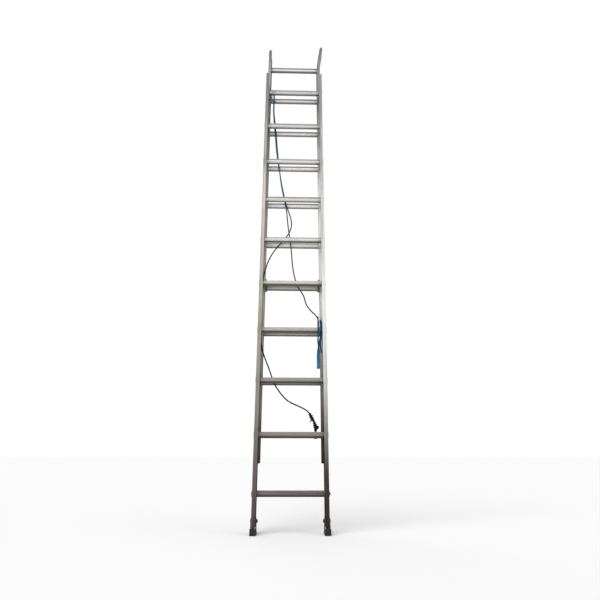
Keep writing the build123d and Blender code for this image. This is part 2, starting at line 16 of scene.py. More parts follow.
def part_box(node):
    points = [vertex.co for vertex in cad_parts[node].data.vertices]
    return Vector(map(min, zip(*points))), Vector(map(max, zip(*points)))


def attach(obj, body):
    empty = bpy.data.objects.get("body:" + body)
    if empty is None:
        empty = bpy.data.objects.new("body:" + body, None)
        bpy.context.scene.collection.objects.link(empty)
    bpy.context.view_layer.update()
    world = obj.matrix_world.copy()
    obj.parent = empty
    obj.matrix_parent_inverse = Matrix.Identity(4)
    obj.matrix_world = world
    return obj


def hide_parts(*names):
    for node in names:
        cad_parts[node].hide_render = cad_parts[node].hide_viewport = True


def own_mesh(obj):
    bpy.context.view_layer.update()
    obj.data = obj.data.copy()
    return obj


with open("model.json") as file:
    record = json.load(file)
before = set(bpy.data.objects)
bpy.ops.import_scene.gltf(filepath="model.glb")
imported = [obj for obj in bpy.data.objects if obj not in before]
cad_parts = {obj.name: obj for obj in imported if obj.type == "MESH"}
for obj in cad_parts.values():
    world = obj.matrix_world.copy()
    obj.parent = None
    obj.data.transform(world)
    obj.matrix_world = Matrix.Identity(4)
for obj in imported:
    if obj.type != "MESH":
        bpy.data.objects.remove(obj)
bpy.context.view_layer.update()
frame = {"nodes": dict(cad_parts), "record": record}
nodes = frame["nodes"]
bpy.ops.object.select_all(action="DESELECT")

# %% [markdown]
# The ladder is modelled upright, while the real one leans. The ladder could be tilted in the scene, but
# its joints would tilt with it. A lean looks the same as a camera that looks up, so the camera takes it
# up. Its place was found by fitting the ends of the rungs, which are a standard distance apart.

# %% Camera
focal_px = 440.0
picture_px = 600.0
sensor_mm = 36.0
camera_place = Vector((-0.009, -2.635, 0.401))
yaw, pitch, roll = (math.radians(a) for a in (1.27, 19.26, 0.12))

ahead = Vector((math.sin(yaw) * math.cos(pitch), math.cos(yaw) * math.cos(pitch), math.sin(pitch)))
level_right = Vector((math.cos(yaw), -math.sin(yaw), 0))
level_up = level_right.cross(ahead)
right = math.cos(roll) * level_right + math.sin(roll) * level_up
up = right.cross(ahead)

camera_data = bpy.data.cameras.new("photo_camera")
camera_data.sensor_fit = "HORIZONTAL"
camera_data.sensor_width = sensor_mm
camera_data.lens = sensor_mm * focal_px / picture_px
camera_data.clip_end = 60
camera = bpy.data.objects.new("photo_camera", camera_data)
turn = Matrix((right, up, -ahead)).transposed().to_4x4()
camera.matrix_world = Matrix.Translation(camera_place) @ turn
bpy.context.scene.collection.objects.link(camera)
bpy.context.scene.camera = camera
print("camera lens", round(camera_data.lens, 2), "mm")

# %% [markdown]
# A shader graph could be wired node by node, but it is easier to read as arithmetic. `Wire` wraps one
# output of a node, so that sums and products of wires add Math nodes. `Finish` owns one material and adds
# any other node by its type. `dress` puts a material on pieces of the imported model.

# %% Shader helpers
class Wire:
    """One output of a shader node, with Python's arithmetic."""

    def __init__(self, finish, socket):
        self.finish = finish
        self.socket = socket

    def math(self, operation, first, second):
        return self.finish.node("ShaderNodeMath", {"operation": operation}, {0: first, 1: second})

    def __add__(self, other):
        return self.math("ADD", self, other)

    def __radd__(self, other):
        return self.math("ADD", other, self)

    def __sub__(self, other):
        return self.math("SUBTRACT", self, other)

    def __rsub__(self, other):
        return self.math("SUBTRACT", other, self)

    def __mul__(self, other):
        return self.math("MULTIPLY", self, other)

    def __rmul__(self, other):
        return self.math("MULTIPLY", other, self)

    def __truediv__(self, other):
        return self.math("DIVIDE", self, other)


class Finish:
    """A material with a Principled shader, and the nodes that feed it."""

    def __init__(self, name, **constants):
        self.material = bpy.data.materials.new(name)
        self.material.use_nodes = True
        self.tree = self.material.node_tree
        self.shader = self.tree.nodes["Principled BSDF"]
        for socket, value in constants.items():
            self.shader.inputs[socket.replace("_", " ")].default_value = value
        self.place = self.node("ShaderNodeTexCoord", output="Object")

    def node(self, kind, settings=None, sockets=None, output=0):
        made = self.tree.nodes.new(kind)
        for name, value in (settings or {}).items():
            if name == "stops":
                while len(made.color_ramp.elements) < len(value):
                    made.color_ramp.elements.new(0.5)
                for element, (position, colour) in zip(made.color_ramp.elements, value):
                    element.position = position
                    element.color = (*colour, 1)
            else:
                setattr(made, name, value)
        for name, value in (sockets or {}).items():
            if isinstance(value, Wire):
                self.tree.links.new(value.socket, made.inputs[name])
            else:
                made.inputs[name].default_value = value
        return Wire(self, made.outputs[output])

    def feed(self, socket, wire):
        self.tree.links.new(wire.socket, self.shader.inputs[socket])

    def parts(self, vector):
        made = self.node("ShaderNodeSeparateXYZ", None, {0: vector}).socket.node
        return [Wire(self, output) for output in made.outputs]

    def scaled(self, x, y, z):
        return self.node("ShaderNodeMapping", None, {"Vector": self.place, "Scale": (x, y, z)})

    def noise(self, vector, scale, detail=3.0, roughness=0.55):
        sockets = {"Vector": vector, "Scale": scale, "Detail": detail, "Roughness": roughness}
        return self.node("ShaderNodeTexNoise", None, sockets, "Fac")

    def ramp(self, value, *stops):
        return self.node("ShaderNodeValToRGB", {"stops": stops}, {"Fac": value}, "Color")

    def by_height(self, z, top, tones):
        return self.ramp(z / top, *[(height / top, tone(*colour)[:3]) for height, colour in tones])

    def step(self, value, low, high):
        sockets = {"Value": value, "From Min": low, "From Max": high}
        return self.node("ShaderNodeMapRange", {"interpolation_type": "SMOOTHSTEP"}, sockets)

    def absolute(self, value):
        return self.node("ShaderNodeMath", {"operation": "ABSOLUTE"}, {0: value})

    def mix(self, factor, first, second):
        return self.node("ShaderNodeMix", {"data_type": "RGBA"}, {0: factor, 6: first, 7: second}, 2)

    def bump(self, height, strength, distance):
        sockets = {"Height": height, "Strength": strength, "Distance": distance}
        self.feed("Normal", self.node("ShaderNodeBump", None, sockets))


def tone(r, g, b):
    """A colour as seen on a screen, 0 to 255, as the linear colour that a shader takes."""
    linear = [(c / 255 / 12.92) if c <= 10 else ((c / 255 + 0.055) / 1.055) ** 2.4 for c in (r, g, b)]
    return (*linear, 1.0)


def dress(names, material):
    """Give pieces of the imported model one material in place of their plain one."""
    for name in names:
        nodes[name].data.materials.clear()
        nodes[name].data.materials.append(material)


print("shader helpers ready")

# %% [markdown]
# The rope is laid rope: three strands twisted round each other. A bevelled curve would give a plain round
# cord, with the twist only painted on. Here a smooth spline along the route's points gives the line, and
# each strand is a thin tube that winds round it. The same helper lays the long strands and the tie.

# %% Rope helper
rope_diameter = 0.009
rope_lay = 0.034
steps_per_turn = 10
strand_share = 0.285


def smooth_line(name, points):
    """The points of a smooth spline that has the route's points as its control points."""
    curve = bpy.data.curves.new(name + "_line", "CURVE")
    curve.dimensions = "3D"
    curve.resolution_u = 10
    spline = curve.splines.new("NURBS")
    spline.points.add(len(points) - 1)
    for point, place in zip(spline.points, points):
        point.co = (*place, 1)
    spline.order_u = 3
    spline.use_endpoint_u = True
    holder = bpy.data.objects.new(name + "_line", curve)
    bpy.context.scene.collection.objects.link(holder)
    bpy.context.view_layer.update()
    mesh = bpy.data.meshes.new_from_object(holder)
    line = [vertex.co.copy() for vertex in mesh.vertices]
    bpy.data.objects.remove(holder)
    bpy.data.meshes.remove(mesh)
    return line


def even_steps(line, step):
    """Points at an even distance along a line, with its two ends."""
    walked = [0.0]
    for a, b in zip(line, line[1:]):
        walked.append(walked[-1] + (b - a).length)
    count = max(2, round(walked[-1] / step))
    places, leg = [], 0
    for i in range(count + 1):
        target = walked[-1] * i / count
        while leg < len(line) - 2 and walked[leg + 1] < target:
            leg += 1
        share = (target - walked[leg]) / max(walked[leg + 1] - walked[leg], 1e-9)
        places.append(line[leg].lerp(line[leg + 1], share))
    return places, walked[-1]


def lay_rope(name, points, diameter=rope_diameter, lay=rope_lay, strands=3, sides=8):
    """A rope of twisted strands along the route; returns the object, its centre line and its length."""
    line, length = even_steps(smooth_line(name, points), lay / steps_per_turn)
    strand_radius = diameter * strand_share
    offset = diameter * 0.5 - strand_radius
    vertices, faces = [], []
    side = Vector((1, 0, 0))
    frames = []
    for i, place in enumerate(line):
        along = (line[min(i + 1, len(line) - 1)] - line[max(i - 1, 0)]).normalized()
        side = (side - along * side.dot(along)).normalized()
        frames.append((place, side.copy(), along.cross(side)))
    for strand in range(strands):
        first = len(vertices)
        for i, (place, across, over) in enumerate(frames):
            angle = 2 * math.pi * (i / steps_per_turn + strand / strands)
            outward = across * math.cos(angle) + over * math.sin(angle)
            heart = place + outward * offset
            for k in range(sides):
                bend = angle + 2 * math.pi * k / sides
                spoke = across * math.cos(bend) + over * math.sin(bend)
                vertices.append(heart + spoke * strand_radius)
        rings = len(frames)
        for i in range(rings - 1):
            for k in range(sides):
                a, b = first + i * sides + k, first + i * sides + (k + 1) % sides
                faces.append((a, b, b + sides, a + sides))
        faces.append([first + k for k in reversed(range(sides))])
        faces.append([first + (rings - 1) * sides + k for k in range(sides)])
    mesh = bpy.data.meshes.new(name)
    mesh.from_pydata([tuple(v) for v in vertices], [], faces)
    mesh.shade_smooth()
    rope = bpy.data.objects.new(name, mesh)
    bpy.context.scene.collection.objects.link(rope)
    print(name, "is", round(length, 3), "m long with", len(faces), "faces")
    return rope, line, length


print("rope helper ready")

# %% [markdown]
# One rope hangs over the pulley. Its hauling strand comes down in front of the sheave, wanders to the
# right rail, goes under the fourth rung and ends in a short tail that points up. Its standing strand
# comes down behind the sheave, swings to the left rail, where the rail's front flange hides it, and
# out again to the fly's lowest rung. A simulated rope would hang in other bends, so both follow points
# along the line that the photograph shows.

# %% The two long strands
sheave_x, sheave_z, wrap = -0.149, 2.896, 0.0145
hauling_route = [
    (sheave_x, wrap, sheave_z),
    (sheave_x, wrap + 0.0005, sheave_z + 0.008),
    (sheave_x, 0.0085, sheave_z + 0.0155),
    (sheave_x, -0.0085, sheave_z + 0.0155),
    (sheave_x, -wrap - 0.0005, sheave_z + 0.008),
    (sheave_x, -wrap, sheave_z - 0.004),
    (-0.1500, -wrap, 2.850),
    (-0.1505, -wrap, 2.800),
    (-0.1423, -wrap, 2.688),
    (-0.1317, -wrap, 2.574),
    (-0.1230, -wrap, 2.465),
    (-0.1112, -wrap, 2.365),
    (-0.0943, -wrap, 2.262),
    (-0.0826, -wrap, 2.160),
    (-0.0642, -wrap, 2.062),
    (-0.0440, -wrap, 1.972),
    (-0.0363, -wrap, 1.880),
    (-0.0267, -wrap, 1.795),
    (-0.0135, -wrap, 1.712),
    (-0.0073, -wrap, 1.645),
    (-0.0020, -wrap, 1.571),
    (0.0070, -wrap, 1.499),
    (0.0205, -wrap, 1.447),
    (0.0357, -wrap, 1.402),
    (0.0545, -wrap, 1.374),
    (0.0735, -wrap, 1.344),
    (0.0805, -wrap, 1.311),
    (0.0895, -wrap, 1.283),
    (0.1060, -wrap, 1.259),
    (0.1240, -wrap, 1.238),
    (0.1430, -wrap, 1.221),
    (0.1585, -0.0165, 1.200),
    (0.1650, -0.0190, 1.172),
    (0.1630, -0.0190, 1.140),
    (0.1610, -0.0190, 1.112),
    (0.1600, -0.0170, 1.0880),
    (0.1600, -0.0330, 1.0855),
    (0.1600, -0.0530, 1.0855),
    (0.1595, -0.0680, 1.0880),
    (0.1585, -0.0680, 1.108),
    (0.1572, -0.0690, 1.130),
    (0.1570, -0.0705, 1.150),
    (0.1580, -0.0715, 1.172),
    (0.1590, -0.0720, 1.190),
]
standing_route = [
    (sheave_x, wrap, sheave_z),
    (-0.1485, wrap, 2.850),
    (-0.1470, wrap, 2.800),
    (-0.1347, wrap, 2.688),
    (-0.1237, wrap, 2.574),
    (-0.1150, wrap, 2.465),
    (-0.1052, wrap, 2.365),
    (-0.0930, wrap, 2.262),
    (-0.0765, wrap, 2.160),
    (-0.0568, wrap, 2.062),
    (-0.0365, wrap, 1.985),
    (-0.0130, wrap, 1.918),
    (-0.0067, wrap, 1.860),
    (-0.0225, wrap, 1.803),
    (-0.060, wrap, 1.748),
    (-0.106, wrap, 1.692),
    (-0.138, 0.009, 1.640),
    (-0.160, -0.003, 1.583),
    (-0.174, -0.015, 1.525),
    (-0.188, -0.017, 1.465),
    (-0.193, -0.017, 1.390),
    (-0.1925, -0.0175, 1.300),
    (-0.1935, -0.018, 1.205),
    (-0.1925, -0.0175, 1.115),
    (-0.189, -0.017, 1.045),
    (-0.177, -0.017, 0.985),
    (-0.158, -0.003, 0.935),
    (-0.141, 0.009, 0.896),
    (-0.118, wrap, 0.834),
    (-0.101, wrap, 0.790),
    (-0.073, wrap, 0.749),
    (-0.044, wrap, 0.715),
    (-0.018, wrap, 0.692),
    (0.016, 0.015, 0.676),
    (0.052, 0.015, 0.661),
    (0.090, 0.016, 0.642),
    (0.1085, 0.016, 0.622),
    (0.1180, 0.016, 0.607),
    (0.1265, 0.017, 0.590),
    (0.1340, 0.018, 0.574),
    (0.1395, 0.0195, 0.556),
    (0.1412, 0.0205, 0.538),
    (0.1405, 0.0205, 0.524),
]
hauling, hauling_line, hauling_length = lay_rope("hauling_strand", hauling_route)
standing, standing_line, standing_length = lay_rope("standing_strand", standing_route)

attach(hauling, "base")
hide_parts("rope_hauling")

fly_travel = 1.524
fly_end = standing_route[-1]
standing_drop = sheave_z - fly_end[2]
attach(standing, "fly")
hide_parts("rope_standing")
1 - fly_travel / standing_drop
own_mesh(standing)

# %% [markdown]
# A short blue rope holds the hauling strand to the fourth rung. It makes two turns round the rung, its
# two ends cross once in front, and hang down side by side to cut ends at the same height. It is laid
# in two halves that meet behind the rung, because each half then starts at the ladder and hangs free. A
# third, shorter end leaves the knot to the right.

# %% The blue tie on the fourth rung
tie_diameter = 0.0105
tie_start = (0.1722, -0.0170, 1.1120)
short_half = [
    tie_start,
    (0.1725, -0.0175, 1.1345),
    (0.1725, -0.0320, 1.1375),
    (0.1725, -0.0520, 1.1375),
    (0.1725, -0.0680, 1.1375),
    (0.1720, -0.0740, 1.1240),
    (0.1690, -0.0785, 1.1060),
    (0.1630, -0.0775, 1.0880),
    (0.1570, -0.0715, 1.0660),
    (0.1555, -0.0668, 1.0400),
    (0.1592, -0.0655, 1.0120),
    (0.1622, -0.0655, 0.9820),
    (0.1617, -0.0650, 0.9450),
    (0.1625, -0.0645, 0.9050),
    (0.1620, -0.0640, 0.8730),
]
long_half = [
    tie_start,
    (0.1720, -0.0175, 1.0885),
    (0.1720, -0.0320, 1.0860),
    (0.1720, -0.0520, 1.0860),
    (0.1722, -0.0670, 1.0885),
    (0.1745, -0.0680, 1.1060),
    (0.1790, -0.0690, 1.1300),
    (0.1785, -0.0690, 1.1560),
    (0.1725, -0.0600, 1.1740),
    (0.1715, -0.0440, 1.1700),
    (0.1770, -0.0300, 1.1550),
    (0.1808, -0.0180, 1.1360),
    (0.1810, -0.0170, 1.1110),
    (0.1810, -0.0175, 1.0885),
    (0.1810, -0.0320, 1.0858),
    (0.1808, -0.0530, 1.0850),
    (0.1795, -0.0690, 1.0845),
    (0.1745, -0.0735, 1.0740),
    (0.1685, -0.0745, 1.0550),
    (0.1645, -0.0765, 1.0300),
    (0.1590, -0.0770, 1.0030),
    (0.1535, -0.0720, 0.9750),
    (0.1522, -0.0660, 0.9450),
    (0.1530, -0.0642, 0.9050),
    (0.1526, -0.0640, 0.8725),
]
spare_end = [
    (0.1748, -0.0790, 1.0760),
    (0.1705, -0.0815, 1.0520),
    (0.1665, -0.0790, 1.0300),
    (0.1680, -0.0740, 1.0080),
    (0.1725, -0.0715, 0.9850),
    (0.1780, -0.0700, 0.9660),
]
tie_routes = {"tie_short_half": short_half, "tie_long_half": long_half, "tie_spare_end": spare_end}
ties = []
for name, route in tie_routes.items():
    tie, tie_line, tie_length = lay_rope(name, route, tie_diameter)
    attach(tie, "base")
    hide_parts("rope_hank")
    ties.append(tie)

# %% [markdown]
# Where the pulley hangs, the photograph shows a small bunch of blue cord between the rung and the
# sheave. It is laid as one cord in three bights, up to the rung and down again in front of the sheave.

# %% The loop at the pulley
loop_route = [
    (-0.1440, -0.0245, 2.8790),
    (-0.1440, -0.0255, 2.8920),
    (-0.1440, -0.0300, 2.9060),
    (-0.1445, -0.0370, 2.9170),
    (-0.1465, -0.0440, 2.9196),
    (-0.1525, -0.0440, 2.9196),
    (-0.1545, -0.0370, 2.9170),
    (-0.1550, -0.0300, 2.9060),
    (-0.1550, -0.0255, 2.8920),
    (-0.1555, -0.0245, 2.8760),
    (-0.1580, -0.0245, 2.8660),
    (-0.1630, -0.0245, 2.8660),
    (-0.1655, -0.0245, 2.8760),
    (-0.1660, -0.0265, 2.8920),
    (-0.1660, -0.0310, 2.9060),
    (-0.1660, -0.0370, 2.9170),
    (-0.1660, -0.0420, 2.9190),
]
loop_diameter = 0.0080
loop_lay = 0.028
pulley_loop, loop_line, loop_length = lay_rope("pulley_loop", loop_route, loop_diameter, loop_lay)
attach(pulley_loop, "base")

# %% [markdown]
# The standing strand is lashed to the fly's lowest rung with thin black cord. One long coil would look
# too even, so each turn is a torus of its own, a little wider or narrower than the last and tipped a
# little differently. Three more turns go round the rung, and ridged lumps stand for the knot.

# %% The lashing's turns
lashing_pieces = []


def cord_ring(name, radius, thickness, segments, placing):
    """One turn of cord, made flat at the origin and then put in its place."""
    bpy.ops.object.select_all(action="DESELECT")
    bpy.ops.mesh.primitive_torus_add(
        major_radius=radius, minor_radius=thickness / 2, major_segments=segments, minor_segments=8
    )
    ring = bpy.context.active_object
    ring.name = name
    ring.data.transform(placing)
    lashing_pieces.append(ring)


lash_top, lash_turns, lash_cord = 0.622, 24, 0.0048
lashed = [place for place in standing_line if place.z < lash_top]
for i in range(lash_turns):
    share = i / (lash_turns - 1)
    index = min(int(share * (len(lashed) - 1)), len(lashed) - 2)
    lean = Vector((0.16 * math.sin(i * 1.7), 0.16 * math.cos(i * 2.3), 0))
    along = ((lashed[index + 1] - lashed[index]).normalized() + lean).normalized()
    upper_lump = 0.0042 * math.exp(-(((share - 0.24) / 0.17) ** 2))
    lower_lump = 0.0044 * math.exp(-(((share - 0.72) / 0.15) ** 2))
    fatness = 0.0050 + upper_lump + lower_lump + 0.0006 * math.sin(i * 2.1)
    aside = Vector((-0.5 * upper_lump, 0, 0))
    turn = Vector((0, 0, 1)).rotation_difference(along).to_matrix().to_4x4()
    placing = Matrix.Translation(lashed[index] + aside) @ turn
    cord_ring(f"lash_turn_{i}", fatness, lash_cord, 20, placing)

rung_y, rung_z = 0.042, 0.5012
rung_turn_radius, rung_turn_cord = 0.0205, 0.0038
upright = Matrix.Rotation(math.radians(90), 4, "Y")
flatten = Matrix.Diagonal((1, 1, 0.90, 1))
for i, x in enumerate((0.1375, 0.1422, 0.1468)):
    tilt = Matrix.Rotation(0.05 * (i - 1), 4, "Z")
    placing = Matrix.Translation((x, rung_y, rung_z)) @ tilt @ flatten @ upright
    cord_ring(f"rung_turn_{i}", rung_turn_radius, rung_turn_cord, 32, placing)
print("lashing has", len(lashing_pieces), "turns")

# %% [markdown]
# The knot is a few ridged lumps: spheres whose points move in and out in waves, so that they look wound.
# A knot could be laid from cord as the rope is, but at this size only its lumpy outline shows. All turns
# and lumps are then joined to one piece, and a short loose end stands out from it.

# %% The lashing's knot
lumps = (
    ((0.1470, 0.0195, 0.5440), 0.0105),
    ((0.1555, 0.0190, 0.5465), 0.0070),
    ((0.1420, 0.0195, 0.5300), 0.0085),
)
ridge_depth = 0.10
for i, (place, size) in enumerate(lumps):
    bpy.ops.object.select_all(action="DESELECT")
    bpy.ops.mesh.primitive_ico_sphere_add(subdivisions=3, radius=size)
    lump = bpy.context.active_object
    lump.name = f"lashing_lump_{i}"
    for vertex in lump.data.vertices:
        ridge = math.sin(700 * vertex.co.x + 500 * vertex.co.z) * math.sin(620 * vertex.co.y)
        vertex.co *= 1 + ridge_depth * ridge
    lump.data.transform(Matrix.Translation(place) @ Matrix.Diagonal((0.9, 0.85, 1.25, 1)))
    lashing_pieces.append(lump)
bpy.ops.object.select_all(action="DESELECT")
for piece in lashing_pieces:
    piece.select_set(True)
bpy.context.view_layer.objects.active = lashing_pieces[0]
bpy.ops.object.join()
lashing = bpy.context.active_object
lashing.name = "black_lashing"
lashing.data.shade_smooth()
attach(lashing, "fly")
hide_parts("rope_lashing")

loose_route = [
    (0.1240, 0.0140, 0.5880),
    (0.1180, 0.0085, 0.5850),
    (0.1120, 0.0080, 0.5800),
    (0.1070, 0.0085, 0.5765),
]
loose_diameter, loose_lay = 0.0066, 0.022
loose_end = lay_rope("lashing_end", loose_route, loose_diameter, loose_lay)[0]
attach(loose_end, "fly")
print("lashing has", len(lashing.data.polygons), "faces")

# %% [markdown]
# Each rung lock has a torsion spring on its pivot. A curve along a helix would do, but a circle the size
# of the wire, swept round by a Screw modifier, gives a closed mesh at once. Its legs would be hidden, so
# the coil is the whole piece.

# %% Lock springs
lock_pivot_y, lock_pivot_z = 0.008, 1.3876
wire, coil_radius, coil_turns = 0.0014, 0.0060, 2.2
coils = []
for body_side in ("left", "right"):
    low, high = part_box(f"lock_spring_{body_side}")
    bpy.ops.object.select_all(action="DESELECT")
    bpy.ops.mesh.primitive_circle_add(vertices=8, radius=wire / 2)
    coil = bpy.context.active_object
    coil.name = f"lock_coil_{body_side}"
    to_profile = Matrix.Translation((coil_radius, 0, 0)) @ Matrix.Rotation(math.radians(90), 4, "X")
    coil.data.transform(to_profile)
    screw = coil.modifiers.new("coil", "SCREW")
    screw.axis = "Z"
    screw.angle = 2 * math.pi * coil_turns
    screw.screw_offset = (high[0] - low[0]) - wire
    screw.steps = screw.render_steps = 56
    bpy.ops.object.modifier_apply(modifier=screw.name)
    bpy.ops.object.mode_set(mode="EDIT")
    bpy.ops.mesh.select_all(action="SELECT")
    bpy.ops.mesh.fill_holes(sides=8)
    bpy.ops.mesh.normals_make_consistent(inside=False)
    bpy.ops.object.mode_set(mode="OBJECT")
    lie_along_x = Matrix.Rotation(math.radians(90), 4, "Y")
    coil.data.transform(Matrix.Translation((low[0] + wire / 2, lock_pivot_y, lock_pivot_z)) @ lie_along_x)
    coil.data.shade_smooth()
    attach(coil, "fly")
    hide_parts(f"lock_spring_{body_side}")
    coils.append(coil)
print(len(coils), "coil springs")

# %% [markdown]
# The rails are extruded aluminium that has stood outdoors, and light and shade are painted into their
# colour. A ramp over the height makes them pale and a little warm at mid height, a darker mid grey at
# the top as painted shade, and brown and dark near the feet, where dirt and painted shade go together;
# the right rail is painted brighter than the left at mid height and darker near the feet. Long streaks
# run along the rail, with small stains and a scratched, slightly uneven gloss, and the insides of the
# channels are darkened with grime and painted shade. A picture could be painted for all this, but
# here a ramp over the height and three noises draw it in the ladder's own coordinates, so it stays put
# from every side.

# %% Rail finish
section_middle = 0.042
flange_inside, flange_outside = 0.0355, 0.0368
ladder_top = 3.5


def rail_finish(name, left_tones, right_tones, web_face):
    metal = Finish(name, Specular_IOR_Level=0.25)
    x, y, z = metal.parts(metal.place)
    dirt = 1.0 - metal.step(z, 0.15, 0.75)
    clean = 1.0 - dirt * 0.75
    # The two height ramps, one for each side, paint light and shade into the colour: pale at mid height,
    # a darker grey at the top, dark at the feet with dirt.
    left_colour = metal.by_height(z, ladder_top, left_tones)
    right_colour = metal.by_height(z, ladder_top, right_tones)
    on_right = metal.step(x, -0.05, 0.05)
    colour = metal.mix(on_right, left_colour, right_colour)
    streaks = metal.noise(metal.scaled(95, 95, 1.4), 1.0, 4.0)
    stains = metal.noise(metal.scaled(9, 9, 5), 1.0, 5.0, 0.6)
    spots = metal.noise(metal.scaled(70, 70, 45), 1.0, 3.0)
    darker = metal.step(stains, 0.50, 0.74) * 0.30 + metal.step(spots, 0.60, 0.74) * 0.22
    colour = metal.mix(darker * clean, colour, tone(74, 66, 58))
    colour = metal.mix(metal.step(streaks, 0.56, 0.72) * clean * 0.45, colour, tone(232, 230, 225))
    colour = metal.mix(metal.step(0.5 - streaks, 0.04, 0.20) * clean * 0.40, colour, tone(92, 85, 74))
    off_middle = metal.absolute(metal.absolute(y) - section_middle)
    between_flanges = 1.0 - metal.step(off_middle, flange_inside, flange_outside)
    before_web = 1.0 - metal.step(metal.absolute(x), web_face - 0.002, web_face)
    inside = between_flanges * before_web
    # Painted shade with grime inside the channels, strongest low on the right rail.
    channel_grime_and_shade = inside * (0.15 - on_right * 0.15 + dirt * 0.30 + dirt * on_right * 0.55)
    colour = metal.mix(channel_grime_and_shade, colour, tone(24, 20, 18))
    metal.feed("Base Color", colour)
    metal.feed("Metallic", 0.45 - dirt * 0.40)
    metal.feed("Roughness", 0.40 + stains * 0.22 - streaks * 0.10 + dirt * 0.22)
    metal.bump(streaks + spots * 0.5, 0.10, 0.0006)
    return metal.material


# Tones of the height ramps: they hold painted light and shade, as well as dirt near the feet.
base_left = [
    (0.05, (66, 59, 58)),
    (0.35, (104, 96, 92)),
    (0.62, (140, 135, 127)),
    (0.95, (152, 148, 138)),
    (1.22, (160, 157, 146)),
    (1.60, (172, 168, 158)),
    (1.95, (178, 174, 164)),
    (2.40, (134, 130, 125)),
    (3.05, (106, 103, 103)),
]
base_right = [
    (0.05, (32, 27, 25)),
    (0.30, (60, 53, 50)),
    (0.48, (124, 119, 115)),
    (0.80, (194, 194, 192)),
    (1.32, (228, 229, 227)),
    (1.60, (206, 206, 203)),
    (1.95, (202, 202, 199)),
    (2.46, (138, 137, 135)),
    (3.05, (132, 130, 129)),
]
fly_left = [
    (0.35, (74, 68, 64)),
    (0.62, (142, 137, 127)),
    (0.95, (164, 159, 147)),
    (1.32, (200, 196, 184)),
    (1.90, (184, 180, 170)),
    (2.46, (146, 142, 137)),
    (2.80, (124, 121, 118)),
    (3.22, (116, 114, 114)),
    (3.36, (86, 84, 84)),
]
fly_right = [
    (0.35, (44, 40, 37)),
    (0.62, (92, 87, 82)),
    (0.95, (166, 163, 158)),
    (1.32, (230, 228, 223)),
    (2.10, (226, 225, 220)),
    (2.46, (182, 181, 178)),
    (2.80, (140, 138, 136)),
    (3.22, (130, 128, 128)),
    (3.36, (98, 96, 96)),
]
base_web, fly_web = 0.2041, 0.1961
base_metal = rail_finish("weathered_rail", base_left, base_right, base_web)
fly_metal = rail_finish("fly_rail", fly_left, fly_right, fly_web)
dress(("base_rail_left", "base_rail_right"), base_metal)
dress(("fly_rail_left", "fly_rail_right"), fly_metal)
print("rails finished")

# %% [markdown]
# A rung is worn, and light and shade are painted into its colour. A ramp over the height makes the
# rungs darker and browner low down, with dirt and painted shade, and brighter high up. Each rung has a
# dark line painted along its top edge as shade, painted shade along its underside and near the rails,
# and pale streaks of wear with darker stains. The fly's upper rungs are painted bright over their face
# as a painted highlight, and its lower rungs have a painted shadow on their upper half, under the base's
# rungs. Twenty materials could tell the rungs apart, but rungs are one pitch apart, so one material finds
# its place on any rung by the height above its middle. The fly's rungs stand behind the base's and are
# told apart by their depth.

# %% Rung finish
rung_pitch, first_rung = 0.3048, 0.1964
rung = Finish("worn_rung", Metallic=0.45)
x, y, z = rung.parts(rung.place)
whole = (z - first_rung) / rung_pitch + 0.5
level = (rung.node("ShaderNodeMath", {"operation": "FRACT"}, {0: whole}) - 0.5) * rung_pitch
rung_tones = [
    (0.19, (98, 87, 83)),
    (0.50, (138, 129, 121)),
    (0.81, (146, 140, 132)),
    (1.11, (172, 168, 160)),
    (1.42, (192, 189, 182)),
    (1.80, (218, 216, 213)),
    (2.80, (226, 225, 225)),
    (3.25, (186, 185, 192)),
]
# The height ramp paints shade: darker and browner low down, with dirt, and brighter high up.
colour = rung.by_height(z, ladder_top, rung_tones)
along = rung.noise(rung.scaled(3, 260, 260), 1.0, 4.0)
patches = rung.noise(rung.scaled(22, 40, 40), 1.0, 4.0, 0.6)
ends = rung.step(rung.absolute(x), 0.150, 0.195)
high_up = rung.step(z, 1.35, 2.0)
topmost = rung.step(z, 2.3, 2.7)
rear = rung.step(y, 0.0, 0.02)
behind = rear * (1.0 - high_up)
under = rung.step(level * -1.0 - high_up * 0.0085 - behind * 0.006, 0.0035, 0.0090)
shadow = behind * rung.step(level, -0.008, 0.002)
crown_shade = rung.step(level + high_up * 0.0105 + topmost * 0.0035, 0.0095, 0.0125)
painted_gleam = rear * high_up * rung.step(level, -0.0140, -0.0105) * (1.0 - crown_shade)
colour = rung.mix(rung.step(patches, 0.48, 0.72) * 0.22, colour, tone(120, 110, 98))
colour = rung.mix(rung.step(along, 0.55, 0.8) * 0.30, colour, tone(232, 230, 226))
# A dark line painted along each rung's top edge as shade, stronger on the upper rungs.
colour = rung.mix(crown_shade * (0.36 + high_up * 0.40 + rear * high_up * 0.14), colour, tone(88, 85, 84))
# Painted highlight over the face of the fly's upper rungs.
colour = rung.mix(painted_gleam * 0.85, colour, tone(252, 252, 251))
colour = rung.mix(shadow * 0.62, colour, tone(66, 62, 57))
# Painted shade on the rungs near the rails.
colour = rung.mix(ends * 0.30, colour, tone(82, 72, 62))
# Painted shade along the rungs' underside.
colour = rung.mix(under * (0.82 + high_up * 0.10), colour, tone(56, 53, 50))
rung.feed("Base Color", colour)
rung.feed("Roughness", 0.38 + patches * 0.20 + under * 0.12)
rung.bump(along + patches * 0.4, 0.10, 0.0005)
rung_names = [name for name in nodes if "_rung_" in name]
dress(rung_names, rung.material)
print(len(rung_names), "rungs finished")

# %% [markdown]
# The small metal: dull castings for the locks, zinc-plated steel with rust for pins and springs,
# blue-grey steel for the pulley, and dark steel with black rubber at the feet. All are a light and a dark
# tone mottled by a noise, so one helper makes them, with rust where it is asked for.

